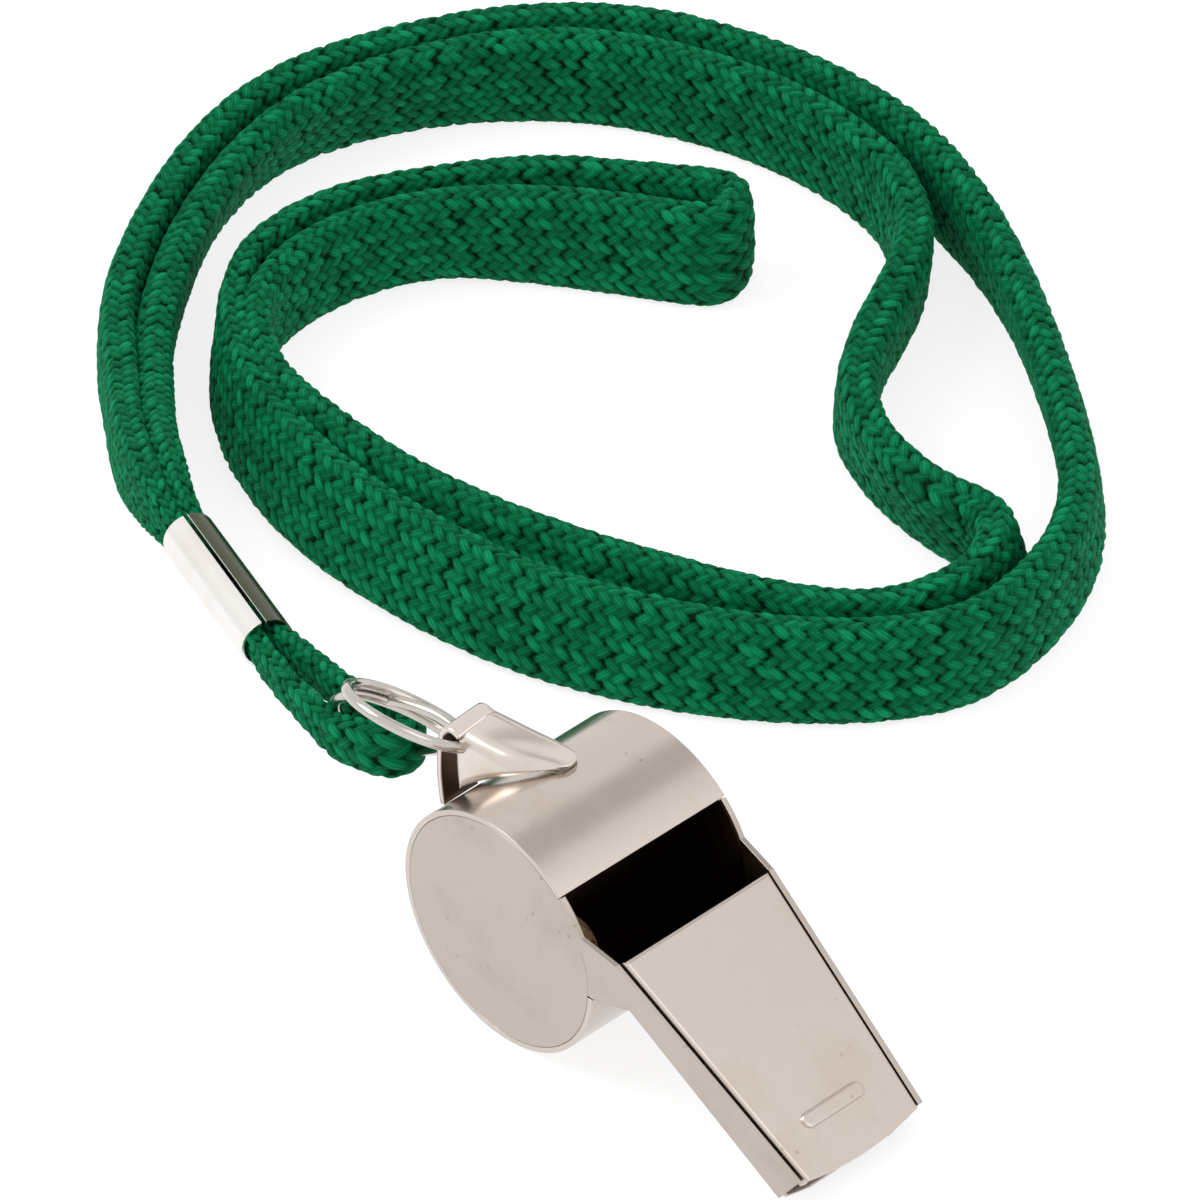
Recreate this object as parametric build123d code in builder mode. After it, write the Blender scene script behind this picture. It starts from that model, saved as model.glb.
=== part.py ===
"""Pea whistle on a doubled braid lanyard: pressed sheet whistle, split ring, crimped sleeve and braid.

Frame: +Z up, floor at z = 0, mouthpiece towards +X, barrel axis along Y. Millimetres.
"""

import math
import os

from build123d import *

os.makedirs("parts", exist_ok=True)

# Whistle
BARREL_X = -11.2
BARREL_R = 11.5
SHEET = 0.5
HALF_WIDTH = 9.6
TIP_HALF_WIDTH = 7.4
BLADE_DEG = 46.4
NOTCH_DEG = -4.0
LIP = (14.07, 15.69)
KINK = (10.2, 16.71)
TIP_TOP = (33.66, 2.69)
TIP_BOTTOM = (31.64, 0.0)
BELLY = (15.6, 11.73)
NOTCH = (11.47, 10.7)
TAPER_X = 10.2
SEAM = 0.05
NEAR_GAP = 0.35
TIP_ARC_R = 31.5
TIP_BULGE = 0.87
CHANNEL_DEPTH = 1.2
BEAD_ALONG = 19.6
BEAD_LENGTH = 7.0
BEAD_WIDTH = 1.45
BEAD_HEIGHT = 0.3
PEA_R = 4.6
PEA_Y = -4.2

# Lug
LUG_LINE = [(-1.64, 23.14), (-4.6, 22.35), (-8.9, 25.2), (-11.5, 24.4), (-11.75, 18.4), (-11.3, 14.6)]
LUG_PLAN = [(-0.7, 0.3), (-1.0, -0.5), (-2.0, -1.5), (-3.2, -3.0), (-4.5, -4.5), (-6.4, -5.2), (-12.6, -5.2)]
LUG_PLAN += [(-12.6, -1.1), (-9.0, -1.1), (-2.9, 1.9), (-1.6, 1.8), (-0.9, 1.1)]

# Split ring, hung between the lug and the fold of the braid
WIRE_R = 0.5
RING_R = 6.25
RING_EYE = (-9.4, -3.0, 22.6)
RING_ACROSS = (0.12, 0.993, 0.0)
RING_SLOPE = (-0.842, 0.102, -0.53)

# Braid, sleeve
BRAID_WIDTH = 9.6
BRAID_THICK = 3.2
SLEEVE_R = 2.5
SLEEVE_NEAR = (-41.9, 2.0, 13.1)
SLEEVE_FAR = (-58.5, 7.5, 13.1)
SLEEVE_SHEET = 0.3
SQUEEZED = (2.1, 3.6)
EYE_IN_R = 2.0
EYE_THICK = 2.4
EYE_WIDTH = 6.0

OUTER_STRAND = [
    (-86.5, 22.5), (-93.6, 26.2), (-100.2, 37.0), (-106.0, 47.5), (-109.8, 58.0), (-110.6, 68.0),
    (-107.8, 79.0), (-102.2, 89.5), (-94.0, 96.6), (-84.0, 100.4), (-73.0, 102.4), (-62.0, 102.0),
    (-51.0, 99.2), (-40.0, 93.6), (-29.5, 86.8), (-19.5, 79.8), (-11.0, 72.0), (-6.4, 63.0),
    (-5.4, 53.0), (-9.0, 44.8), (-16.5, 37.0), (-25.5, 30.6), (-36.0, 26.2), (-47.0, 24.6),
    (-58.0, 24.8), (-68.5, 26.6), (-78.5, 30.8), (-86.5, 37.0), (-91.3, 45.5), (-91.6, 55.0),
    (-87.6, 64.0), (-81.0, 72.0), (-73.5, 78.2), (-66.2, 83.0),
]
INNER_STRAND = [
    (-63.2, 78.2), (-71.0, 74.2), (-78.4, 68.6), (-84.2, 61.8), (-87.7, 54.0), (-87.5, 46.2),
    (-83.4, 39.4), (-76.6, 34.2), (-67.6, 30.4), (-58.0, 28.7), (-47.4, 28.5), (-37.2, 30.0),
    (-27.6, 34.0), (-19.2, 39.8), (-12.3, 47.0), (-9.3, 54.0), (-10.2, 61.5), (-14.0, 65.4),
    (-21.5, 64.6), (-29.0, 64.6), (-36.0, 69.0), (-41.0, 76.0), (-44.5, 83.5), (-49.5, 91.0),
    (-58.0, 96.4), (-67.5, 98.2), (-78.0, 97.6), (-87.0, 95.2), (-93.6, 91.8), (-99.0, 86.8),
    (-103.9, 78.0), (-106.7, 68.0), (-106.0, 58.8), (-102.5, 49.2), (-96.8, 39.0), (-91.8, 29.6),
    (-84.7, 25.9),
]

side = Plane(origin=(BARREL_X, 0, 0), x_dir=(1, 0, 0), z_dir=(0, -1, 0))
plan = Plane(origin=(BARREL_X, 0, 0), x_dir=(1, 0, 0), z_dir=(0, 0, 1))
slope = math.atan2(TIP_TOP[1] - LIP[1], TIP_TOP[0] - LIP[0])
along = (math.cos(slope), math.sin(slope))
up = (-math.sin(slope), math.cos(slope))


def at(x, y, z=0.0):
    """A point given from the barrel's axis."""
    return (BARREL_X + x, y, z)


def toward(point, direction, distance):
    return (point[0] + direction[0] * distance, point[1] + direction[1] * distance)


def strip(inset_out, inset_in):
    """Plan outline of one tapered wall on the +Y side, between two insets from the cheek's outer face."""
    far = TIP_TOP[0] + 3
    fall = (HALF_WIDTH - TIP_HALF_WIDTH) / (TIP_TOP[0] - TAPER_X)
    y_far = HALF_WIDTH - fall * (far - TAPER_X)
    return [
        (TAPER_X, HALF_WIDTH - inset_out),
        (far, y_far - inset_out),
        (far, y_far - inset_in),
        (TAPER_X, HALF_WIDTH - inset_in),
    ]


def between(inset, more=0.0):
    """Plan outline of everything between the cheeks, inset from their outer faces, and by more on the -Y side."""
    far = strip(inset, inset)[:2]
    near = [(x, more - y) for x, y in reversed(far)]
    return [(TAPER_X - 4, far[0][1])] + far + near + [(TAPER_X - 4, near[1][1])]


# The tip of the mouthpiece is cut to a shallow arc, square to the top plate.
lip_end = toward(LIP, along, math.dist(LIP, TIP_TOP) + TIP_BULGE - TIP_ARC_R)
tip_plane = Plane(
    origin=at(lip_end[0], 0, lip_end[1]),
    x_dir=(along[0], 0, along[1]),
    z_dir=(up[0], 0, up[1]),
)

# --- Barrel band: blade lip, over the back, under the belly, out into the mouthpiece's underside.
with BuildPart() as barrel_band:
    with BuildSketch(side):
        with BuildLine():
            sweep_deg = 360 - BLADE_DEG + NOTCH_DEG
            outer = CenterArc((0, BARREL_R), BARREL_R, BLADE_DEG, sweep_deg)
            inner = CenterArc((0, BARREL_R), BARREL_R - SHEET, BLADE_DEG, sweep_deg)
            Line(outer @ 0, inner @ 0)
            Line(outer @ 1, inner @ 1)
        make_face()
    extrude(amount=HALF_WIDTH, both=True)
    fall_dir = (TIP_BOTTOM[0] - BELLY[0], TIP_BOTTOM[1] - BELLY[1])
    fall_len = math.hypot(*fall_dir)
    rise = (-fall_dir[1] / fall_len * SHEET, fall_dir[0] / fall_len * SHEET)
    tip_past = (TIP_BOTTOM[0] + 1.5 * fall_dir[0] / fall_len, TIP_BOTTOM[1] + 1.5 * fall_dir[1] / fall_len)
    with BuildSketch(side) as belly:
        Polygon(
            (NOTCH[0] - 0.55, NOTCH[1] - 0.1),
            (NOTCH[0] - 0.02, NOTCH[1] - 0.1),
            BELLY,
            tip_past,
            (tip_past[0] + rise[0], tip_past[1] + rise[1]),
            (BELLY[0] + rise[0], BELLY[1] + rise[1]),
            (BELLY[0] - 0.2, BELLY[1] + SHEET),
            (NOTCH[0] - 0.5, NOTCH[1] + 0.45),
            align=None,
        )
    with BuildPart(mode=Mode.PRIVATE) as belly_part:
        extrude(belly.sketch, amount=HALF_WIDTH, both=True)
        with BuildSketch(plan):
            Polygon(*between(SHEET), align=None)
        extrude(amount=30, mode=Mode.INTERSECT)
        with BuildSketch(tip_plane):
            Circle(TIP_ARC_R)
        extrude(amount=30, both=True, mode=Mode.INTERSECT)
    add(belly_part.part)
barrel_band.part.label = "barrel_band"

# --- Side plates: flat disc let into the band's end, and the tapered cheek of the mouthpiece.
for name, sign in (("left_side_plate", -1), ("right_side_plate", 1)):
    with BuildPart() as plate:
        with BuildSketch(side.offset(-sign * (HALF_WIDTH - SHEET))):
            with Locations((0, BARREL_R)):
                Circle(BARREL_R - SHEET - SEAM)
        extrude(amount=-sign * SHEET)
        with BuildSketch(side) as cheek:
            with BuildLine():
                arc = CenterArc((0, BARREL_R), BARREL_R, NOTCH_DEG + 0.6, BLADE_DEG - NOTCH_DEG - 1.2)
                Line(arc @ 1, (0, BARREL_R))
                Line((0, BARREL_R), arc @ 0)
            make_face()
            Polygon(
                (6.0, BARREL_R), (NOTCH[0], NOTCH[1] + 0.1), BELLY, TIP_BOTTOM, TIP_TOP, LIP, KINK, align=None
            )
        with BuildPart(mode=Mode.PRIVATE) as cheek_part:
            extrude(cheek.sketch, amount=HALF_WIDTH, both=True)
            with BuildSketch(plan):
                Polygon(*[(x, sign * y) for x, y in strip(0, SHEET)], align=None)
                Polygon(
                    (5.0, sign * HALF_WIDTH),
                    (TAPER_X, sign * HALF_WIDTH),
                    (TAPER_X, sign * (HALF_WIDTH - SHEET)),
                    (5.0, sign * (HALF_WIDTH - SHEET)),
                    align=None,
                )
            extrude(amount=30, mode=Mode.INTERSECT)
        add(cheek_part.part)
    plate.part.label = name
    export_step(plate.part, f"parts/{name}.step")

# --- Top plate: a shallow channel between the cheeks, with a rolled lip and a pressed tooth stop.
top_plane = Plane(
    origin=at(LIP[0], 0, LIP[1]),
    x_dir=(along[0], 0, along[1]),
    z_dir=(up[0], 0, up[1]),
)
reach = math.dist(LIP, TIP_TOP) + 2


def channel(depth_from, depth_to, start):
    corner = toward(LIP, along, start)
    end = toward(LIP, along, reach)
    return [
        toward(corner, up, -depth_from),
        toward(end, up, -depth_from),
        toward(end, up, -depth_to),
        toward(corner, up, -depth_to),
    ]


with BuildPart() as mouthpiece_top:
    with BuildSketch(side):
        Polygon(*channel(0, CHANNEL_DEPTH, 0), align=None)
    extrude(amount=HALF_WIDTH, both=True)
    with BuildSketch(plan):
        Polygon(*between(SHEET + SEAM, NEAR_GAP), align=None)
    extrude(amount=30, mode=Mode.INTERSECT)
    top_face = mouthpiece_top.faces().sort_by(Axis((0, 0, 0), top_plane.z_dir))[-1]
    fillet(top_face.edges().sort_by(Axis((0, 0, 0), top_plane.x_dir))[:3], radius=0.4)
    with BuildSketch(tip_plane):
        Circle(TIP_ARC_R)
    extrude(amount=30, both=True, mode=Mode.INTERSECT)
    with BuildPart(mode=Mode.PRIVATE) as hollow:
        with BuildSketch(side):
            Polygon(*channel(SHEET, CHANNEL_DEPTH + 1, -1), align=None)
        extrude(amount=HALF_WIDTH, both=True)
        with BuildSketch(plan):
            Polygon(*between(2 * SHEET + SEAM, NEAR_GAP), align=None)
        extrude(amount=30, mode=Mode.INTERSECT)
    add(hollow.part, mode=Mode.SUBTRACT)
    with BuildSketch(top_plane.offset(-0.1)):
        with Locations((BEAD_ALONG, 0)):
            SlotOverall(BEAD_LENGTH, BEAD_WIDTH, rotation=90)
    extrude(amount=BEAD_HEIGHT + 0.1)
    bead_top = mouthpiece_top.faces().sort_by(Axis((0, 0, 0), top_plane.z_dir))[-1]
    fillet(bead_top.edges(), radius=0.25)
mouthpiece_top.part.label = "mouthpiece_top"

# --- Windway floor: lies on the belly sheet and turns down at the barrel to close the chamber.
with BuildPart() as windway_floor:
    f_dir = (fall_dir[0] / fall_len, fall_dir[1] / fall_len)
    f_up = (-f_dir[1], f_dir[0])
    root = toward(toward(BELLY, f_dir, -2.6), f_up, SHEET + 0.01)
    end = toward(toward(BELLY, f_dir, fall_len - 0.6), f_up, SHEET + 0.01)
    with BuildSketch(side):
        Polygon(
            root,
            end,
            toward(end, f_up, SHEET),
            toward(root, f_up, SHEET),
            (root[0] - 0.25, root[1] + 0.3),
            (NOTCH[0] - 0.3, NOTCH[1] + 0.75),
            (NOTCH[0] + 0.35, NOTCH[1] + 0.75),
            align=None,
        )
    extrude(amount=HALF_WIDTH, both=True)
    with BuildSketch(plan):
        Polygon(*between(SHEET + SEAM), align=None)
    extrude(amount=30, mode=Mode.INTERSECT)
windway_floor.part.label = "windway_floor"

# --- Lug: one bent strip, soldered askew on the back of the barrel.
with BuildPart() as lug:
    with BuildSketch(side):
        with BuildLine():
            FilletPolyline(*LUG_LINE, radius=[1.2, 1.0, 1.0, 3.0])
        trace(line_width=SHEET)
    extrude(amount=HALF_WIDTH, both=True)
    with BuildSketch(plan):
        Polygon(*LUG_PLAN, align=None)
    extrude(amount=40, mode=Mode.INTERSECT)
    with Locations(Location(at(0, 0, BARREL_R), (90, 0, 0))):
        Cylinder(BARREL_R, 4 * HALF_WIDTH, mode=Mode.SUBTRACT)
lug.part.label = "lug"

# --- Pea, at rest on the bottom of the chamber.
with BuildPart() as pea:
    with Locations(at(0, PEA_Y, SHEET + PEA_R + 0.1)):
        Sphere(PEA_R)
pea.part.label = "pea"

# --- Split ring: two turns of wire side by side.
centre = [RING_EYE[i] + RING_SLOPE[i] * RING_R for i in range(3)]
ring_normal = Vector(*RING_SLOPE).cross(Vector(*RING_ACROSS)).normalized()
with BuildPart() as split_ring:
    for step in (-0.96, 0.96):
        turn_centre = Vector(*at(*centre)) + ring_normal * (step * WIRE_R)
        with Locations(Plane(origin=turn_centre, z_dir=ring_normal)):
            Torus(RING_R, WIRE_R)
split_ring.part.label = "split_ring"
fold = [RING_EYE[i] + RING_SLOPE[i] * 2 * RING_R for i in range(3)]
print("ring eye", at(*RING_EYE), "fold", at(*fold), "ring centre", at(*centre))

# --- Crimped sleeve with an open seam along its top.
sleeve_dir = Vector(*SLEEVE_FAR) - Vector(*SLEEVE_NEAR)
sleeve_len = sleeve_dir.length
sleeve_dir = sleeve_dir.normalized()
sleeve_plane = Plane(origin=at(*SLEEVE_NEAR), x_dir=(0, 0, 1), z_dir=sleeve_dir)
with BuildPart() as crimp_ferrule:
    with BuildSketch(sleeve_plane):
        Circle(SLEEVE_R)
        Circle(SLEEVE_R - SLEEVE_SHEET, mode=Mode.SUBTRACT)
        with Locations((SLEEVE_R, -0.25)):
            Rectangle(2.4, 0.4, mode=Mode.SUBTRACT)
    extrude(amount=sleeve_len)
crimp_ferrule.part.label = "crimp_ferrule"

# --- Neck loop: upright doubled braid on the floor, gathered into the sleeve.
strand = [at(x, y, BRAID_WIDTH / 2) for x, y in OUTER_STRAND + INNER_STRAND]
radii = []
for before, point, after in zip(strand, strand[1:], strand[2:]):
    first = Vector(*point) - Vector(*before)
    second = Vector(*after) - Vector(*point)
    half_turn = math.radians(first.get_angle(second)) / 2
    radii.append(0.45 * min(first.length, second.length) / math.tan(half_turn))
print("braid bend radii, mm:", [round(r, 1) for r in radii])


with BuildPart() as neck_loop:
    with BuildLine() as route:
        FilletPolyline(*strand, radius=radii)
    with BuildSketch(Plane(origin=strand[0], z_dir=Vector(*strand[1]) - Vector(*strand[0]), x_dir=(0, 0, 1))):
        Rectangle(BRAID_WIDTH, BRAID_THICK)
    sweep(path=route.wires()[0])
print("neck loop volume", round(neck_loop.part.volume), "length", round(route.wires()[0].length, 1))
end_dir = Vector(*strand[1]) - Vector(*strand[0])
end_dir = end_dir.normalized()
end_across = Vector(-end_dir.Y, end_dir.X, 0)
mouth_across = Vector(-sleeve_dir.Y, sleeve_dir.X, 0)
with BuildPart() as gathered:
    for point, lean in ((strand[0], 1.1), (strand[-1], -1.1)):
        mouth = Vector(*at(*SLEEVE_FAR)) + mouth_across * lean - sleeve_dir * 0.5
        with BuildSketch(Plane(origin=Vector(*point) + end_dir * 0.05, x_dir=end_across, z_dir=end_dir)):
            Rectangle(BRAID_THICK, BRAID_WIDTH)
        with BuildSketch(Plane(origin=mouth, x_dir=mouth_across, z_dir=sleeve_dir)):
            Rectangle(*SQUEEZED)
        loft(ruled=True)
    with BuildSketch(sleeve_plane.offset(sleeve_len / 2)):
        Circle(SLEEVE_R - SLEEVE_SHEET)
    extrude(amount=sleeve_len / 2)
print("gathered volume", round(gathered.part.volume), "solids", len(gathered.solids()))
with BuildPart() as neck_loop_whole:
    add(neck_loop.part)
    add(gathered.part)
neck_loop_whole.part.label = "neck_loop"
print("gathered length", round(math.dist(strand[0], at(*SLEEVE_FAR)), 1))

# --- Ring loop: the short eye of braid, round the ring's wire.
eye = Vector(*at(*fold))
mouth = Vector(*at(*SLEEVE_NEAR))
run = (mouth - eye).normalized()
fold_axis = Vector(0, 0, 1).cross(run).normalized()
eye_plane = Plane(origin=eye, x_dir=run, z_dir=fold_axis)
reach_to_mouth = (mouth - eye).length
mid_r = EYE_IN_R + EYE_THICK / 2
with BuildPart() as ring_loop:
    with BuildSketch(eye_plane):
        with BuildLine():
            Polyline((reach_to_mouth + 0.6, 1.25), (reach_to_mouth * 0.72, 1.6), (0, mid_r))
            bend = CenterArc((0, 0), mid_r, 90, 180)
            Polyline((0, -mid_r), (reach_to_mouth * 0.72, -1.6), (reach_to_mouth + 0.6, -1.25))
        trace(line_width=EYE_THICK)
    extrude(amount=EYE_WIDTH / 2, both=True)
    with BuildSketch(sleeve_plane):
        Circle(SLEEVE_R - SLEEVE_SHEET)
    extrude(amount=sleeve_len / 2)
ring_loop.part.label = "ring_loop"
print("ring loop volume", round(ring_loop.part.volume), "solids", len(ring_loop.solids()))

for built, name in (
    (barrel_band.part, "barrel_band"),
    (mouthpiece_top.part, "mouthpiece_top"),
    (windway_floor.part, "windway_floor"),
    (lug.part, "lug"),
    (pea.part, "pea"),
    (split_ring.part, "split_ring"),
    (crimp_ferrule.part, "crimp_ferrule"),
    (neck_loop_whole.part, "neck_loop"),
    (ring_loop.part, "ring_loop"),
):
    export_step(built, f"parts/{name}.step")
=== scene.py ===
"""Pea whistle on a doubled green braid lanyard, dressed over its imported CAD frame. Metres."""

import math

import bpy
import numpy as np
from mathutils import Matrix, Vector


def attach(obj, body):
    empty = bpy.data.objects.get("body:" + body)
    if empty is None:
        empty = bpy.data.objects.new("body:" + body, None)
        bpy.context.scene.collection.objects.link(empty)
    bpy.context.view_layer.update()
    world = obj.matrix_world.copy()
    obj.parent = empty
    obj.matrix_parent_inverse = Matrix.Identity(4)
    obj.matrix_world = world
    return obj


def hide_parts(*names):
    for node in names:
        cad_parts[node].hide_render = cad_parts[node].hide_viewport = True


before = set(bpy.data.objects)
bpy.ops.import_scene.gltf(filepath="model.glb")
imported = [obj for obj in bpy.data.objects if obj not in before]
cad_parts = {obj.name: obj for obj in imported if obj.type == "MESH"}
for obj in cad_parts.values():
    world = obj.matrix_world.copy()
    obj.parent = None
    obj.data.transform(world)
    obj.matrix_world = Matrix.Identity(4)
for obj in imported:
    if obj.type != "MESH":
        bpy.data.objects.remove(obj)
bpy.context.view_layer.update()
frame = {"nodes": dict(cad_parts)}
rng = np.random.default_rng(7)

MM = 0.001
AXIS_X = -11.2  # the barrel's axis, in millimetres along the frame's X
AXIS_Z = 11.5  # and its height above the floor
CHAMBER_R, CHAMBER_HALF = 11.06, 9.2  # the barrel's inside, a little over its radius and half its length
SLEEVE_MIDDLE = (-50.2, 4.75, 13.1)
SLEEVE_ACROSS = (0.3145, 0.949, 0)  # level, and square to the sleeve's axis
WIRE_R = 0.5
HALF_SHEET = 0.25


def at(x, y, z):
    """A point given in millimetres from the barrel's axis, in metres in the frame."""
    return Vector(((x + AXIS_X) * MM, y * MM, z * MM))


# ---------------------------------------------------------------- camera
AZIMUTH, ELEVATION, ROLL = math.radians(47.295), math.radians(37.447), math.radians(-1.542)
DISTANCE, SLIDE_RIGHT, SLIDE_UP = 772.58, 1.44, 33.023
LENS = 270.0

back = Vector((
    math.sin(AZIMUTH) * math.cos(ELEVATION),
    -math.cos(AZIMUTH) * math.cos(ELEVATION),
    math.sin(ELEVATION),
))
right = Vector((math.cos(AZIMUTH), math.sin(AZIMUTH), 0))
above = back.cross(right)
right, above = (
    right * math.cos(ROLL) + above * math.sin(ROLL),
    above * math.cos(ROLL) - right * math.sin(ROLL),
)
eye = right * SLIDE_RIGHT + above * SLIDE_UP + back * DISTANCE
cam_data = bpy.data.cameras.new("camera")
cam_data.lens = LENS
cam_data.sensor_width = 36
cam_data.clip_start, cam_data.clip_end = 0.01, 20
camera = bpy.data.objects.new("camera", cam_data)
turn = Matrix((right, above, back)).transposed().to_4x4()
camera.matrix_world = Matrix.Translation(at(*eye)) @ turn
bpy.context.scene.collection.objects.link(camera)
bpy.context.scene.camera = camera


# ---------------------------------------------------------------- braid
BRAID_WIDTH = 10.2
BRAID_THICK = 3.7
COLUMNS = 24  # columns of stitches round the tube
PITCH = 1.5  # from one stitch to the next along a column
SLANT = math.radians(37)
RING_WIDTH, RING_THICK, RING_COLUMNS = 4.2, 2.6, 12  # the small loop, gathered in the sleeve
STITCH_LONG, STITCH_WIDE = 1.05, 0.56  # half sizes of one stitch


def spline_points(name, points, resolution):
    """The line of a NURBS spline with these control points, and where along the points each one is."""
    data = bpy.data.curves.new(name, "CURVE")
    data.dimensions = "3D"
    data.resolution_u = resolution
    spline = data.splines.new("NURBS")
    spline.points.add(len(points) - 1)
    for slot, point in zip(spline.points, points):
        slot.co = (*at(*point), 1)
    spline.order_u = 3
    spline.use_endpoint_u = True
    holder = bpy.data.objects.new(name, data)
    bpy.context.scene.collection.objects.link(holder)
    mesh = bpy.data.meshes.new_from_object(holder)
    line = np.array([v.co[:] for v in mesh.vertices])
    bpy.data.objects.remove(holder)
    bpy.data.meshes.remove(mesh)
    spans = len(points) - 2
    where = np.linspace(0, spans, len(line))
    centres = np.clip(np.arange(len(points)) - 0.5, 0, spans)
    return line, where, centres


def resample(line, where, step):
    """The same line with points a step apart, for a mesh to follow."""
    lengths = np.concatenate([[0], np.cumsum(np.linalg.norm(np.diff(line, axis=0), axis=1))])
    count = int(round(lengths[-1] / step)) + 1
    s = np.linspace(0, lengths[-1], count)
    fine = np.stack([np.interp(s, lengths, line[:, i]) for i in range(3)], axis=1)
    return fine, np.interp(s, lengths, where), s


def smooth(values, passes):
    out = values.copy()
    for _ in range(passes):
        out[1:-1] = (out[:-2] + 2 * out[1:-1] + out[2:]) / 4
    return out


def stitches(s, u, column_width, columns):
    """Height, tone and place across of plump slanted stitches, at lengths s along and places u round."""
    last = int(s[-1] / PITCH) + 4
    slip = rng.normal(0, 0.11, (columns, last + 4))
    swell = rng.uniform(0.84, 1.10, (columns, last + 4))
    shade = rng.uniform(0, 1, (columns, last + 4))
    height = np.zeros((len(s), len(u)))
    tone = np.full((len(s), len(u)), 0.5)
    across = np.zeros((len(s), len(u)))
    for dk in (-1, 0, 1):
        k = np.floor(u).astype(int) + dk
        du = (u - k - 0.5)[None, :] * column_width
        hand = np.where(k % 2 == 0, 1.0, -1.0)[None, :]
        start = np.where(k % 2 == 0, 0.0, 0.5)[None, :]
        nearest = np.floor(s[:, None] / PITCH - start + 0.5).astype(int)
        for dn in (-1, 0, 1):
            n = np.clip(nearest + dn, 0, last) + 1
            column = np.broadcast_to((k % columns)[None, :], n.shape)
            ds = s[:, None] - (n - 1 + start + slip[column, n]) * PITCH
            p = (ds * math.cos(SLANT) + hand * du * math.sin(SLANT)) / STITCH_LONG
            q = (du * math.cos(SLANT) - hand * ds * math.sin(SLANT)) / STITCH_WIDE
            h = np.sqrt(np.clip(1 - np.abs(p) ** 2.4 - np.abs(q) ** 2.2, 0, 1)) * swell[column, n]
            h += 0.06 * hand * (h > 0)
            win = h > height
            height = np.where(win, h, height)
            tone = np.where(win, shade[column, n], tone)
            across = np.where(win, q, across)
    return height, tone, across


def braid(name, points, sides, leans, widths, thicks, columns, full_width, full_thick, step=0.24):
    """A flat tubular braid along these points, its width along sides, with every stitch standing out."""
    line, where, centres = spline_points(name + "_line", points, 24)
    fine, place, s = resample(line, where, step * MM)
    fine = smooth(fine, 6)
    tangent = np.gradient(fine, axis=0)
    tangent /= np.linalg.norm(tangent, axis=1)[:, None]
    side = np.stack([np.interp(place, centres, [d[i] for d in sides]) for i in range(3)], axis=1)
    side = smooth(side, 200)
    side -= tangent * np.sum(side * tangent, axis=1)[:, None]
    side /= np.linalg.norm(side, axis=1)[:, None]
    normal = np.cross(side, tangent)
    lean = np.radians(smooth(np.interp(place, centres, leans), 300))[:, None]
    side, normal = side * np.cos(lean) + normal * np.sin(lean), normal * np.cos(lean) - side * np.sin(lean)
    width = smooth(np.interp(place, centres, widths), 200) * MM
    thick = smooth(np.interp(place, centres, thicks), 200) * MM
    wander = np.interp(s, np.linspace(0, s[-1], 60), rng.normal(0, 0.00014, 60))
    fine = fine + normal * smooth(wander, 60)[:, None]

    # section: flat with round edges, walked evenly round
    around = columns * 7
    dense = np.linspace(0, 2 * math.pi, 721)
    edge_x = np.sign(np.cos(dense)) * np.abs(np.cos(dense)) ** 0.55 * full_thick / 2
    edge_y = np.sign(np.sin(dense)) * np.abs(np.sin(dense)) ** 0.5 * full_width / 2
    walk = np.concatenate([[0], np.cumsum(np.hypot(np.diff(edge_x), np.diff(edge_y)))])
    ring = np.linspace(0, walk[-1], around, endpoint=False)
    cx = np.interp(ring, walk, edge_x)
    cy = np.interp(ring, walk, edge_y)
    nx = np.roll(cy, -1) - np.roll(cy, 1)
    ny = np.roll(cx, 1) - np.roll(cx, -1)
    size = np.hypot(nx, ny)
    nx, ny = nx / size, ny / size
    height, tone, across = stitches(s / MM, ring / walk[-1] * columns, walk[-1] / columns, columns)
    lift = (height - 0.78) * 0.40 * MM

    radial = fine[:, None, :] + normal[:, None, :] * (cx[None, :, None] / full_thick * thick[:, None, None])
    radial = radial + side[:, None, :] * (cy[None, :, None] / full_width * width[:, None, None])
    outward = normal[:, None, :] * nx[None, :, None] + side[:, None, :] * ny[None, :, None]
    verts = (radial + outward * lift[:, :, None]).reshape(-1, 3)
    obj = tube_mesh(name, verts, len(fine), around)
    for label, data in (("stitch", height), ("tone", tone), ("across", across)):
        layer = obj.data.attributes.new(label, "FLOAT", "POINT")
        layer.data.foreach_set("value", data.astype(np.float32).ravel())
    keep = fine[:: int(2 / step)].copy()
    keep[-1] = fine[-1]
    length = float(np.sum(np.linalg.norm(np.diff(fine, axis=0), axis=1)))
    return obj, [tuple(p) for p in keep], length


def tube_mesh(name, verts, rows, cols):
    """A closed tube from rows of points, cols points round each."""
    i = np.arange(rows - 1)[:, None] * cols
    j = np.arange(cols)[None, :]
    j2 = (j + 1) % cols
    quads = np.stack([i + j, i + j2, i + cols + j2, i + cols + j], axis=2).reshape(-1, 4)
    first, last = np.arange(cols - 1, -1, -1), np.arange((rows - 1) * cols, rows * cols)
    loops = np.concatenate([quads.ravel(), first, last])
    starts = np.concatenate([np.arange(len(quads)) * 4, [len(quads) * 4, len(quads) * 4 + cols]])
    mesh = bpy.data.meshes.new(name)
    mesh.vertices.add(len(verts))
    mesh.vertices.foreach_set("co", verts.astype(np.float32).ravel())
    mesh.loops.add(len(loops))
    mesh.loops.foreach_set("vertex_index", loops.astype(np.int32))
    mesh.polygons.add(len(starts))
    mesh.polygons.foreach_set("loop_start", starts.astype(np.int32))
    mesh.update(calc_edges=True)
    mesh.validate()
    mesh.polygons.foreach_set("use_smooth", np.ones(len(mesh.polygons), dtype=bool))
    obj = bpy.data.objects.new(name, mesh)
    bpy.context.scene.collection.objects.link(obj)
    return obj


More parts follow.
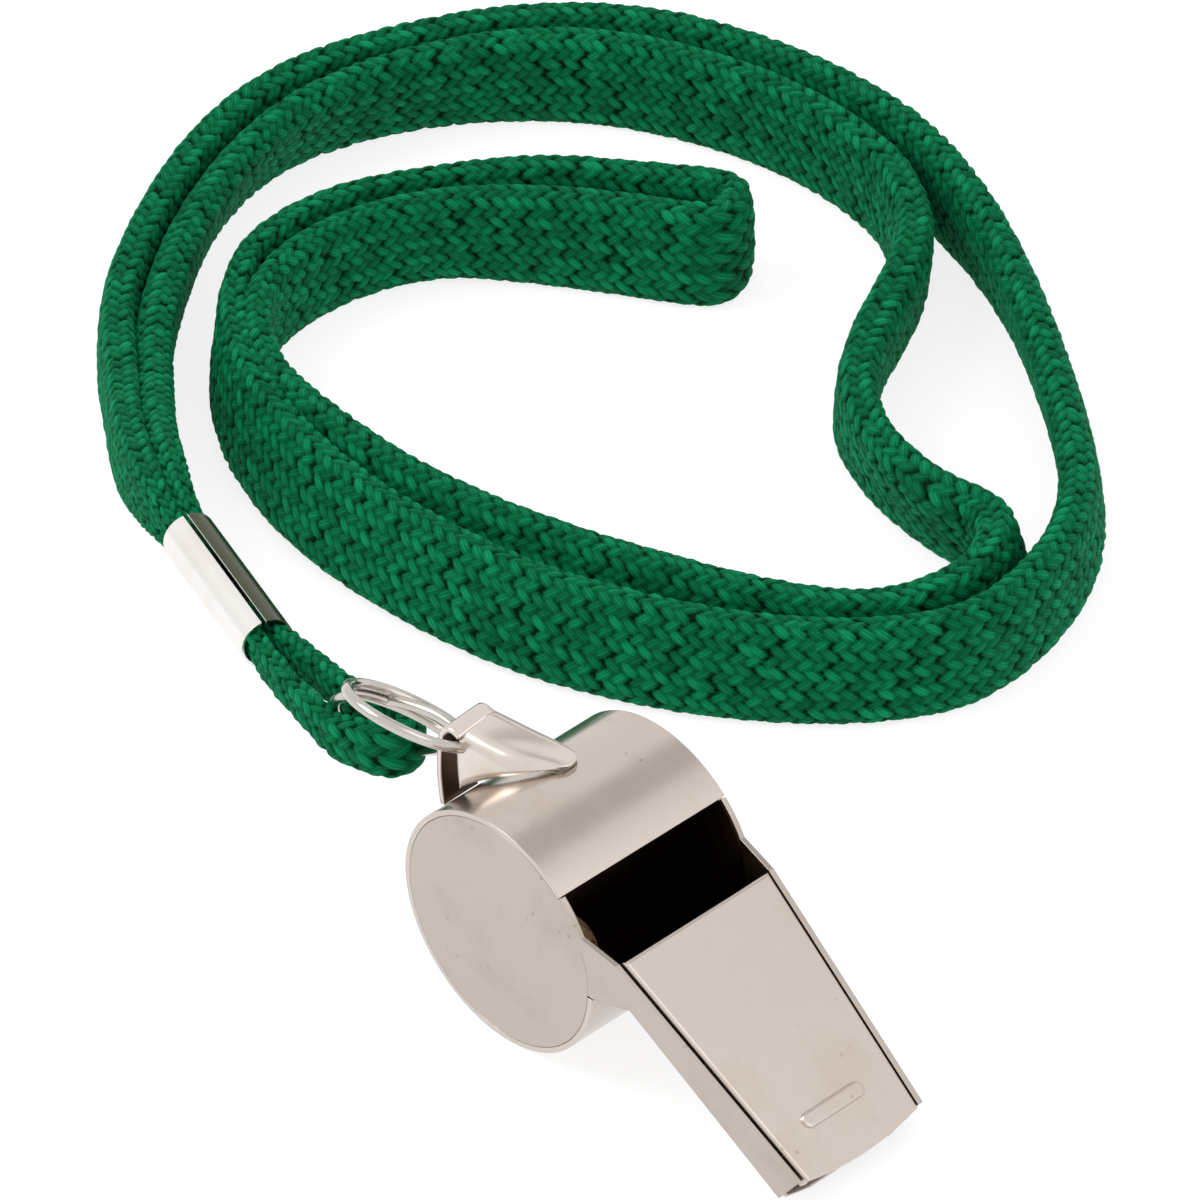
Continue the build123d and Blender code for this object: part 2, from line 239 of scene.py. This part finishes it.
UP = (0, 0, 1)
H = 5.1
NECK = [
    # from the sleeve, outer strand, round to the fold
    (-54.0, 5.17, 13.1), (-60.0, 7.16, 12.9), (-67.8, 10.6, 11.7), (-76.6, 15.9, 8.6),
    (-86.0, 23.1, 5.9), (-93.4, 28.6, H), (-100.8, 36.7, H), (-108.0, 48.2, H), (-111.6, 58.4, H),
    (-112.1, 67.7, H), (-108.8, 79.2, H), (-102.6, 89.8, H), (-94.4, 97.2, H), (-84.4, 101.2, H),
    (-73.3, 103.3, H), (-62.2, 102.9, H), (-50.9, 99.7, H), (-39.5, 94.1, H), (-29.2, 87.5, H),
    (-18.9, 80.7, H), (-10.0, 72.5, H), (-5.0, 63.0, H), (-3.5, 52.4, H), (-8.0, 44.1, H),
    (-16.1, 36.6, H), (-25.9, 31.3, H), (-36.3, 27.2, H), (-47.0, 25.8, H), (-57.9, 25.6, H),
    (-68.1, 27.1, H), (-78.5, 30.9, H), (-87.2, 36.5, H), (-93.0, 44.7, H), (-93.4, 55.4, H),
    (-88.7, 64.8, H), (-81.5, 72.7, 5.5), (-73.7, 78.5, 5.5), (-66.5, 83.7, 5.5), (-64.1, 80.9, 5.5),
    # back along the inner strand
    (-63.8, 77.7, 5.5), (-70.8, 73.7, 5.5), (-78.4, 68.7, 5.5), (-85.4, 62.4, 5.5), (-89.5, 54.3, H),
    (-89.3, 45.6, H), (-85.4, 38.3, H), (-77.3, 32.5, H), (-66.7, 30.7, H), (-57.6, 30.1, H),
    (-48.0, 31.2, H), (-38.6, 33.4, H), (-29.3, 36.7, H), (-20.0, 40.6, H), (-11.4, 46.2, H),
    (-8.9, 54.0, H), (-9.6, 61.0, H), (-13.6, 65.8, H), (-20.7, 64.5, H), (-29.1, 66.0, H),
    (-37.1, 69.6, H), (-42.4, 76.0, H), (-45.8, 83.7, H), (-49.9, 91.1, H), (-58.1, 96.8, H),
    (-67.5, 98.5, H), (-78.2, 98.2, H), (-87.0, 95.5, H), (-93.6, 92.0, H), (-99.2, 87.0, H),
    (-105.1, 78.3, H), (-108.6, 68.0, H), (-108.1, 59.3, H), (-104.5, 49.9, H), (-98.2, 39.8, H),
    (-91.4, 31.4, H), (-83.6, 24.8, 5.6), (-75.2, 18.2, 8.4), (-67.4, 12.9, 11.6), (-60.2, 8.9, 12.9),
    (-53.6, 6.72, 13.1),
]
# How far each stretch leans from upright, degrees: the braid stands on its edge and its top leans inwards.
LEAN = {
    4: -2, 5: -4, 6: -10, 7: -16, 8: -17, 9: -14, 10: -8, 11: -2, 16: -5, 17: -11, 18: -13, 19: -11,
    20: -5, 23: -4, 24: -8, 25: -16, 26: -20, 27: -22, 28: -22, 29: -20, 30: -14, 31: -8, 32: -4,
    33: -4, 34: -4, 35: -2, 41: 4, 42: 8, 43: 5, 44: 4, 45: 6, 46: 8, 47: 14, 48: 21, 49: 24, 50: 21,
    51: 16, 52: 9, 53: 4, 55: 8, 56: 16, 57: 18, 58: 12, 59: -2, 60: -12, 61: -10, 62: -6, 68: 4,
    69: 14, 70: 22, 71: 26, 72: 24, 73: 13, 74: 8, 75: 4,
}
neck_sides = [UP] * len(NECK)
neck_leans = [LEAN.get(n, 0) for n in range(len(NECK))]
neck_widths = [BRAID_WIDTH] * len(NECK)
neck_thicks = [BRAID_THICK] * len(NECK)
for n, (w, t) in enumerate([(2.8, 1.5), (3.8, 2.0), (6.8, 3.0), (8.8, 3.4), (9.8, 3.6)]):
    neck_widths[n] = neck_widths[-1 - n] = w
    neck_thicks[n] = neck_thicks[-1 - n] = t

for n in (31, 32, 33, 34, 42, 43, 44, 45):
    neck_thicks[n] = 3.1
for n in (56, 57, 60, 61):
    neck_thicks[n] = 4.3
for n in range(35, 42):
    neck_widths[n] = 10.9

neck, neck_path, neck_length = braid(
    "neck_braid", NECK, neck_sides, neck_leans, neck_widths, neck_thicks, COLUMNS, BRAID_WIDTH, BRAID_THICK
)
print("neck braid length", round(neck_length, 4))
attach(neck, "lanyard")
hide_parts("neck_loop")

LOOP = [
    (-46.5, 2.68, 13.1), (-43.8, 1.79, 13.1), (-41.0, 0.5, 13.2), (-37.7, -0.85, 13.7),
    (-34.1, -2.05, 14.2), (-30.5, -3.05, 14.7), (-27.0, -3.7, 14.5), (-24.6, -3.7, 14.9),
    (-22.4, -3.2, 15.3), (-20.4, -2.3, 15.5), (-20.4, -0.1, 15.5), (-22.3, 0.8, 15.9),
    (-24.5, 0.7, 15.6), (-26.2, 0.4, 15.3), (-29.0, 0.5, 15.0), (-32.1, 0.8, 14.6),
    (-35.2, 1.5, 14.1), (-38.1, 2.35, 13.6), (-40.7, 2.8, 13.2), (-43.4, 3.34, 13.1),
    (-46.2, 4.27, 13.1),
]
loop_widths = [2.8, 2.8, 3.2, 3.2, 3.2, 3.3, 3.7, 4.4, 5.0, 5.2, 5.2]
loop_widths += [5.0, 4.6, 4.0, 3.6, 3.4, 3.3, 3.3, 3.1, 2.8, 2.8]
loop_thicks = [1.5, 1.5, 1.8, 1.9, 1.9, 2.0, 2.3, 2.6, 2.7, 2.6, 2.6]
loop_thicks += [2.7, 2.7, 2.4, 2.1, 2.0, 1.9, 1.9, 1.8, 1.5, 1.5]
loop, loop_path, loop_length = braid(
    "ring_braid",
    LOOP,
    [UP] * len(LOOP),
    [0] * len(LOOP),
    loop_widths,
    loop_thicks,
    RING_COLUMNS,
    RING_WIDTH,
    RING_THICK,
    step=0.2,
)
print("ring braid length", round(loop_length, 4))
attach(loop, "lanyard")
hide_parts("ring_loop")


# ---------------------------------------------------------------- ring and lug
EYE = np.array((-9.9, -3.3, 22.4))  # where the wire passes through the lug


def smooth_rail(points, count):
    """A quadratic B-spline through the middle of these points."""
    pts = np.array(points, float)
    out = []
    for i in range(len(pts) - 2):
        a = pts[i] if i == 0 else (pts[i] + pts[i + 1]) / 2
        c = pts[i + 2] if i == len(pts) - 3 else (pts[i + 1] + pts[i + 2]) / 2
        for t in np.linspace(0, 1, count, endpoint=False):
            out.append((1 - t) ** 2 * a + 2 * t * (1 - t) * pts[i + 1] + t * t * c)
    return np.array(out + [pts[-1]])


def ring_turn(toward_eye, rise, radius, start, end, shift):
    """Points along one sprung turn of the ring's wire, from and back to the eye, shifted across the turn."""
    m, e = np.array(toward_eye), np.array(rise)
    across = np.cross(m, e)
    across /= np.linalg.norm(across)
    t = np.radians(np.arange(start, end, 6.0))[:, None]
    return EYE - m * radius * (1 - np.cos(t)) + e * radius * np.sin(t) + across * shift


SECOND_TURN = [
    (-10.3, -3.2, 22.6), (-12.4, -2.6, 23.3), (-15.2, -3.4, 23.6), (-18.8, -4.0, 23.0), (-23.6, -4.2, 21.0),
    (-26.9, -3.4, 18.4), (-28.4, -2.2, 15.6), (-27.8, -1.8, 13.2), (-25.3, -1.6, 12.4), (-22.2, -0.9, 13.2),
    (-18.9, -0.6, 15.6), (-15.4, -1.8, 18.0), (-12.7, -2.7, 20.4), (-10.8, -3.2, 21.8),
]
wire_line = np.concatenate([
    ring_turn((0.79, 0.50, -0.39), (0.607, -0.664, 0.426), 5.7, 205, 354, 0.8),
    ring_turn((0.79, 0.50, -0.39), (0.607, -0.664, 0.426), 5.7, 6, 354, -0.2),
    smooth_rail(SECOND_TURN, 5),
])
for _ in range(6):
    wire_line[1:-1] = (wire_line[:-2] + 2 * wire_line[1:-1] + wire_line[2:]) / 4
along = np.gradient(wire_line, axis=0)
along /= np.linalg.norm(along, axis=1)[:, None]
aside = np.cross(along, (0.05, -0.5, -0.86))
aside /= np.linalg.norm(aside, axis=1)[:, None]
other = np.cross(along, aside)
round_wire = np.linspace(0, 2 * math.pi, 20, endpoint=False)
wire_verts = wire_line[:, None, :] + WIRE_R * (
    aside[:, None, :] * np.cos(round_wire)[None, :, None]
    + other[:, None, :] * np.sin(round_wire)[None, :, None]
)
wire_verts = (wire_verts.reshape(-1, 3) + (AXIS_X, 0, 0)) * MM
wire = tube_mesh("sprung_wire", wire_verts, len(wire_line), 20)
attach(wire, "ring")
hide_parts("split_ring")

# The lug: a tongue lying on the barrel along its near edge, straight from the ridge to its tip on the far
# edge and open at its left end, and a narrow leg down the barrel's back. Four edges each, in millimetres.
TONGUE_NEAR = [
    (-9.3, -4.8, 19.2), (-8.2, -4.8, 20.3), (-6.6, -4.6, 21.5), (-4.7, -3.9, 22.5), (-3.2, -2.5, 22.95),
    (-2.1, -1.4, 23.15), (-1.3, -0.7, 23.25),
]
TONGUE_FAR = [
    (-9.0, -1.1, 25.5), (-7.6, -0.4, 24.95), (-6.0, 0.35, 24.3), (-4.4, 1.15, 23.7), (-2.9, 1.75, 23.2),
    (-1.9, 1.7, 23.15), (-1.3, 1.2, 23.25),
]
TONGUE_LEFT = [
    (-9.3, -4.8, 19.2), (-9.35, -5.0, 22.4), (-9.35, -4.8, 24.5), (-9.2, -3.2, 25.05), (-9.0, -1.1, 25.5),
]
TONGUE_TIP = [(-1.3, -0.7, 23.25), (-0.75, 0.2, 23.27), (-1.3, 1.2, 23.25)]
LEG_NEAR = [
    (-9.2, -5.1, 24.55), (-9.8, -5.15, 24.95), (-10.7, -5.2, 24.9), (-11.35, -5.2, 23.9),
    (-11.6, -5.2, 21.5), (-11.7, -5.2, 18.8), (-11.4, -5.2, 16.4),
]
LEG_FAR = [
    (-8.9, -1.1, 25.45), (-9.6, -1.15, 25.75), (-10.6, -1.2, 25.4), (-11.4, -1.2, 24.2),
    (-11.7, -1.2, 21.5), (-11.8, -1.2, 18.8), (-11.5, -1.2, 16.4),
]
LEG_TOP = [LEG_NEAR[0], (-9.1, -3.2, 25.0), LEG_FAR[0]]
LEG_FOOT = [LEG_NEAR[-1], (-11.5, -3.2, 16.4), LEG_FAR[-1]]


def sheet_piece(name, edge_a, edge_b, start, finish):
    """Half a millimetre of sheet stretched between two long edges and the two short edges that close them."""
    a, b = smooth_rail(edge_a, 9), smooth_rail(edge_b, 9)
    v = np.linspace(0, 1, 17)
    first, last = [
        np.stack([np.interp(v, np.linspace(0, 1, len(rail)), rail[:, i]) for i in range(3)], axis=1)
        for rail in (smooth_rail(start, 8), smooth_rail(finish, 8))
    ]
    u = np.linspace(0, 1, len(a))[:, None, None]
    w = v[None, :, None]
    sheet = (1 - w) * a[:, None, :] + w * b[:, None, :] + (1 - u) * first[None, :, :] + u * last[None, :, :]
    sheet -= (1 - u) * ((1 - w) * a[0] + w * b[0]) + u * ((1 - w) * a[-1] + w * b[-1])
    face = np.cross(np.gradient(sheet, axis=0), np.gradient(sheet, axis=1))
    face /= np.linalg.norm(face, axis=2)[:, :, None]
    section = np.concatenate([sheet - face * HALF_SHEET, (sheet + face * HALF_SHEET)[:, ::-1, :]], axis=1)
    verts = (section.reshape(-1, 3) + (AXIS_X, 0, 0)) * MM
    piece = tube_mesh(name, verts, len(section), section.shape[1])
    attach(piece, "whistle")
    return piece


strip = sheet_piece("lug_tongue", TONGUE_NEAR, TONGUE_FAR, TONGUE_LEFT, TONGUE_TIP)
leg = sheet_piece("lug_leg", LEG_NEAR, LEG_FAR, LEG_TOP, LEG_FOOT)
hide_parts("lug")


# ---------------------------------------------------------------- materials
def material(name):
    mat = bpy.data.materials.new(name)
    mat.use_nodes = True
    nodes, links = mat.node_tree.nodes, mat.node_tree.links
    nodes.clear()
    out = nodes.new("ShaderNodeOutputMaterial")
    shader = nodes.new("ShaderNodeBsdfPrincipled")
    links.new(shader.outputs[0], out.inputs[0])
    return mat, nodes, links, shader


def ramp(nodes, links, source, stops):
    node = nodes.new("ShaderNodeValToRGB")
    links.new(source, node.inputs[0])
    elements = node.color_ramp.elements
    elements[0].position, elements[0].color = stops[0]
    elements[1].position, elements[1].color = stops[-1]
    for position, color in stops[1:-1]:
        elements.new(position).color = color
    return node.outputs[0]


def noise(nodes, links, vector, scale, detail=3.0, rough=0.55):
    node = nodes.new("ShaderNodeTexNoise")
    links.new(vector, node.inputs["Vector"])
    node.inputs["Scale"].default_value = scale
    node.inputs["Detail"].default_value = detail
    node.inputs["Roughness"].default_value = rough
    return node.outputs[0]


def math_node(nodes, links, kind, a, b):
    node = nodes.new("ShaderNodeMath")
    node.operation = kind
    for socket, value in zip(node.inputs, (a, b)):
        if isinstance(value, (int, float)):
            socket.default_value = value
        else:
            links.new(value, socket)
    return node.outputs[0]


def grey(v, a=1.0):
    return (v, v, v, a)


def braid_material():
    mat, nodes, links, shader = material("green_braid")
    where = nodes.new("ShaderNodeTexCoord").outputs["Object"]
    stitch = nodes.new("ShaderNodeAttribute")
    stitch.attribute_name = "stitch"
    tone = nodes.new("ShaderNodeAttribute")
    tone.attribute_name = "tone"
    across = nodes.new("ShaderNodeAttribute")
    across.attribute_name = "across"
    fuzz = noise(nodes, links, where, 3000, 6, 0.8)
    thread = math_node(nodes, links, "MULTIPLY", across.outputs["Fac"], 11.0)
    thread = math_node(nodes, links, "ADD", thread, math_node(nodes, links, "MULTIPLY", fuzz, 5.0))
    thread = math_node(nodes, links, "MULTIPLY", math_node(nodes, links, "SINE", thread, 0), 0.10)
    cloud = noise(nodes, links, where, 140, 2, 0.5)
    # Painted shade: the colour follows the stitch height, darkest in the crevices between stitches and
    # lighter on their crowns.
    height = math_node(nodes, links, "MULTIPLY", stitch.outputs["Fac"], 0.72)
    height = math_node(nodes, links, "ADD", height, math_node(nodes, links, "MULTIPLY", fuzz, 0.36))
    height = math_node(nodes, links, "ADD", height, thread)
    color = ramp(
        nodes,
        links,
        height,
        [
            (0.28, (0.0002, 0.014, 0.005, 1)),
            (0.54, (0.0004, 0.075, 0.024, 1)),
            (0.78, (0.0008, 0.138, 0.050, 1)),
            (1.00, (0.0040, 0.225, 0.095, 1)),
        ],
    )
    mix = nodes.new("ShaderNodeHueSaturation")
    links.new(color, mix.inputs["Color"])
    value = math_node(nodes, links, "MULTIPLY", tone.outputs["Fac"], 0.40)
    value = math_node(nodes, links, "ADD", value, 0.54)
    value = math_node(nodes, links, "ADD", value, math_node(nodes, links, "MULTIPLY", cloud, 0.18))
    links.new(value, mix.inputs["Value"])
    links.new(mix.outputs[0], shader.inputs["Base Color"])
    shader.inputs["Roughness"].default_value = 0.70
    shader.inputs["Specular IOR Level"].default_value = 0.04
    shader.inputs["Sheen Weight"].default_value = 0.10
    shader.inputs["Sheen Roughness"].default_value = 0.45
    shader.inputs["Sheen Tint"].default_value = (0.02, 0.75, 0.40, 1)
    bump = nodes.new("ShaderNodeBump")
    bump.inputs["Strength"].default_value = 0.6
    bump.inputs["Distance"].default_value = 0.00010
    links.new(fuzz, bump.inputs["Height"])
    links.new(bump.outputs[0], shader.inputs["Normal"])
    return mat


def metal_material(name, base, rough, scratch=0.25, stain=0.25, bevel=0.00012, paint_chamber_shade=False, leaf=False):
    """Old nickel: clouded, finely scratched, with a few pits.

    One flag paints shade dark inside the barrel; the other paints a dark green reflection of the braid, with
    its shade, on the sleeve's leaf beyond its seam.
    """
    mat, nodes, links, shader = material(name)
    where = nodes.new("ShaderNodeTexCoord").outputs["Object"]
    cloud = noise(nodes, links, where, 120, 4, 0.6)
    pits = nodes.new("ShaderNodeTexVoronoi")
    pits.inputs["Scale"].default_value = 700
    links.new(where, pits.inputs["Vector"])
    pit = ramp(nodes, links, pits.outputs["Distance"], [(0.03, grey(0)), (0.16, grey(1))])
    spread = noise(nodes, links, where, 240, 2, 0.5)
    few = ramp(nodes, links, spread, [(0.57, grey(1)), (0.62, grey(0))])
    pit = math_node(nodes, links, "MAXIMUM", pit, few)
    stretch = nodes.new("ShaderNodeMapping")
    stretch.inputs["Scale"].default_value = (60, 900, 900)
    stretch.inputs["Rotation"].default_value = (0.3, 0.5, 0.7)
    links.new(where, stretch.inputs["Vector"])
    line = noise(nodes, links, stretch.outputs[0], 1.0, 2, 0.6)
    brown = (base[0] * 0.90, base[1] * 0.85, base[2] * 0.80, 1)
    clean = (*base, 1)
    dirty = ramp(nodes, links, cloud, [(0.50, clean), (0.80, brown)])
    shade = nodes.new("ShaderNodeMix")
    shade.data_type = "RGBA"
    shade.blend_type = "MIX"
    pitted = math_node(nodes, links, "SUBTRACT", 1.0, pit)
    links.new(math_node(nodes, links, "MULTIPLY", pitted, stain * 2.4), shade.inputs["Factor"])
    links.new(dirty, shade.inputs["A"])
    shade.inputs["B"].default_value = (base[0] * 0.32, base[1] * 0.22, base[2] * 0.14, 1)
    color = shade.outputs["Result"]
    # Painted shade: inside the barrel the colour is multiplied by a dark brown grey.
    if paint_chamber_shade:
        parts = nodes.new("ShaderNodeSeparateXYZ")
        links.new(where, parts.inputs[0])
        dx = math_node(nodes, links, "SUBTRACT", parts.outputs["X"], AXIS_X * MM)
        dz = math_node(nodes, links, "SUBTRACT", parts.outputs["Z"], AXIS_Z * MM)
        squared_x = math_node(nodes, links, "MULTIPLY", dx, dx)
        squared_z = math_node(nodes, links, "MULTIPLY", dz, dz)
        squared = math_node(nodes, links, "ADD", squared_x, squared_z)
        within = math_node(nodes, links, "LESS_THAN", squared, (CHAMBER_R * MM) ** 2)
        off_centre = math_node(nodes, links, "ABSOLUTE", parts.outputs["Y"], 0)
        deep = math_node(nodes, links, "LESS_THAN", off_centre, CHAMBER_HALF * MM)
        inside = nodes.new("ShaderNodeMix")
        inside.data_type = "RGBA"
        inside.blend_type = "MULTIPLY"
        links.new(math_node(nodes, links, "MULTIPLY", within, deep), inside.inputs["Factor"])
        links.new(color, inside.inputs["A"])
        inside.inputs["B"].default_value = (0.30, 0.23, 0.17, 1)
        color = inside.outputs["Result"]
    # Painted reflection: the sleeve's leaf beyond its seam and above its middle is given the dark green of
    # the braid it mirrors, with shade.
    if leaf:
        middle = at(*SLEEVE_MIDDLE)
        seam = middle.dot(Vector(SLEEVE_ACROSS))
        aside = nodes.new("ShaderNodeVectorMath")
        aside.operation = "DOT_PRODUCT"
        links.new(where, aside.inputs[0])
        aside.inputs[1].default_value = SLEEVE_ACROSS
        parts = nodes.new("ShaderNodeSeparateXYZ")
        links.new(where, parts.inputs[0])
        beyond = math_node(nodes, links, "GREATER_THAN", aside.outputs["Value"], seam)
        high = math_node(nodes, links, "GREATER_THAN", parts.outputs["Z"], middle.z + 0.3 * MM)
        leaf_reflection_mix = nodes.new("ShaderNodeMix")
        leaf_reflection_mix.data_type = "RGBA"
        links.new(math_node(nodes, links, "MULTIPLY", beyond, high), leaf_reflection_mix.inputs["Factor"])
        links.new(color, leaf_reflection_mix.inputs["A"])
        leaf_reflection_mix.inputs["B"].default_value = (0.085, 0.095, 0.06, 1)
        color = leaf_reflection_mix.outputs["Result"]
    links.new(color, shader.inputs["Base Color"])
    shader.inputs["Metallic"].default_value = 1.0
    roughness = math_node(nodes, links, "MULTIPLY", cloud, 0.16)
    roughness = math_node(nodes, links, "ADD", roughness, rough - 0.08)
    links.new(roughness, shader.inputs["Roughness"])
    bump = nodes.new("ShaderNodeBump")
    bump.inputs["Strength"].default_value = scratch
    bump.inputs["Distance"].default_value = 0.00001
    mixed = math_node(nodes, links, "ADD", math_node(nodes, links, "MULTIPLY", line, 0.6), pit)
    links.new(mixed, bump.inputs["Height"])
    edge = nodes.new("ShaderNodeBevel")
    edge.samples = 6
    edge.inputs["Radius"].default_value = bevel
    links.new(edge.outputs[0], bump.inputs["Normal"])
    links.new(bump.outputs[0], shader.inputs["Normal"])
    return mat


def cork_material():
    mat, nodes, links, shader = material("cork")
    where = nodes.new("ShaderNodeTexCoord").outputs["Object"]
    grain = noise(nodes, links, where, 900, 4, 0.7)
    stops = [(0.35, (0.10, 0.05, 0.02, 1)), (0.5, (0.36, 0.22, 0.11, 1)), (0.7, (0.50, 0.33, 0.18, 1))]
    color = ramp(nodes, links, grain, stops)
    links.new(color, shader.inputs["Base Color"])
    shader.inputs["Roughness"].default_value = 0.9
    bump = nodes.new("ShaderNodeBump")
    bump.inputs["Distance"].default_value = 0.0001
    links.new(grain, bump.inputs["Height"])
    links.new(bump.outputs[0], shader.inputs["Normal"])
    return mat


green = braid_material()
nickel = metal_material("nickel_sheet", (0.60, 0.54, 0.495), 0.22, stain=0.2, paint_chamber_shade=True)
# Painted shade: the windway floor is nickel made nearly black, for the shade inside the mouthpiece.
shadowed = metal_material("nickel_windway_painted_shade", (0.10, 0.085, 0.07), 0.35)
# The side plates are a darker copy of the nickel: painted shade, taking down their mirror of the bright
# floor.
plates = metal_material("nickel_plates_darkened", (0.50, 0.45, 0.41), 0.24, stain=0.25, paint_chamber_shade=True)
# The lug's tongue and leg are a lighter copy of the nickel: painted light, brighter than the barrel's nickel.
tongue = metal_material("nickel_tongue_lightened", (0.71, 0.65, 0.60), 0.22, stain=0.25)
# Painted shade for the leg's inner side under the tongue, dark brown nickel.
leg_painted_shade = metal_material("nickel_leg_painted_shade", (0.13, 0.085, 0.06), 0.4)
sleeve_metal = metal_material("tinned_sleeve", (0.84, 0.82, 0.80), 0.24, stain=0.1, leaf=True)
wire_metal = metal_material("steel_wire", (0.55, 0.52, 0.49), 0.16, bevel=0.00002)
cork = cork_material()


def dress(obj, mat):
    obj.data.materials.clear()
    obj.data.materials.append(mat)


for piece in (neck, loop):
    dress(piece, green)
nodes = frame["nodes"]
for node in ("barrel_band", "mouthpiece_top", "lug"):
    dress(nodes[node], nickel)
for node in ("left_side_plate", "right_side_plate"):
    dress(nodes[node], plates)
dress(nodes["windway_floor"], shadowed)
dress(strip, tongue)
dress(leg, tongue)
leg.data.materials.append(leg_painted_shade)
for face in leg.data.polygons:  # the side under the tongue gets painted shade, dark brown
    face.material_index = 1 if face.normal.x > 0.25 and face.center.z < 24.0 * MM else 0
dress(wire, wire_metal)
dress(nodes["pea"], cork)
dress(nodes["split_ring"], wire_metal)
dress(nodes["crimp_ferrule"], sleeve_metal)

# ---------------------------------------------------------------- floor and light
floor_mesh = bpy.data.meshes.new("floor")
reach = 6.0
corners = [(-reach, -reach, 0), (reach, -reach, 0), (reach, reach, 0), (-reach, reach, 0)]
floor_mesh.from_pydata(corners, [], [(0, 1, 2, 3)])
floor = bpy.data.objects.new("floor", floor_mesh)
bpy.context.scene.collection.objects.link(floor)
mat, _, _, fs = material("floor_paper")
fs.inputs["Base Color"].default_value = (0.26, 0.26, 0.26, 1)
fs.inputs["Roughness"].default_value = 0.9
fs.inputs["Specular IOR Level"].default_value = 0.05
fs.inputs["Emission Color"].default_value = (1, 1, 1, 1)
fs.inputs["Emission Strength"].default_value = 0.80
dress(floor, mat)

# The world is white with one soft darker patch high up behind, which the barrel and the top plate mirror.
world = bpy.data.worlds.new("studio")
bpy.context.scene.world = world
world.use_nodes = True
wn, wl = world.node_tree.nodes, world.node_tree.links
background = wn["Background"]
facing = wn.new("ShaderNodeVectorMath")
facing.operation = "DOT_PRODUCT"
wl.new(wn.new("ShaderNodeTexCoord").outputs["Generated"], facing.inputs[0])
facing.inputs[1].default_value = (-0.08, 0.54, 0.84)
patch = ramp(wn, wl, facing.outputs["Value"], [(0.95, (1.0, 0.985, 0.97, 1)), (0.99, (0.66, 0.64, 0.63, 1))])
wl.new(patch, background.inputs["Color"])
background.inputs["Strength"].default_value = 1.0


def lamp(name, place, aim, size, power, color=(1, 1, 1)):
    data = bpy.data.lights.new(name, "AREA")
    data.shape = "RECTANGLE"
    data.size, data.size_y = size
    data.energy = power
    data.color = color
    obj = bpy.data.objects.new(name, data)
    obj.location = place
    direction = Vector(aim) - Vector(place)
    obj.rotation_euler = direction.to_track_quat("-Z", "Y").to_euler()
    bpy.context.scene.collection.objects.link(obj)
    return obj


lamp("key", (-0.5, -0.5, 0.9), (-0.04, 0.03, 0), (0.6, 0.6), 5.0)
lamp("fill", (0.8, 0.2, 0.8), (-0.04, 0.03, 0), (0.8, 0.8), 1.5)

bpy.context.scene.view_settings.view_transform = "Standard"
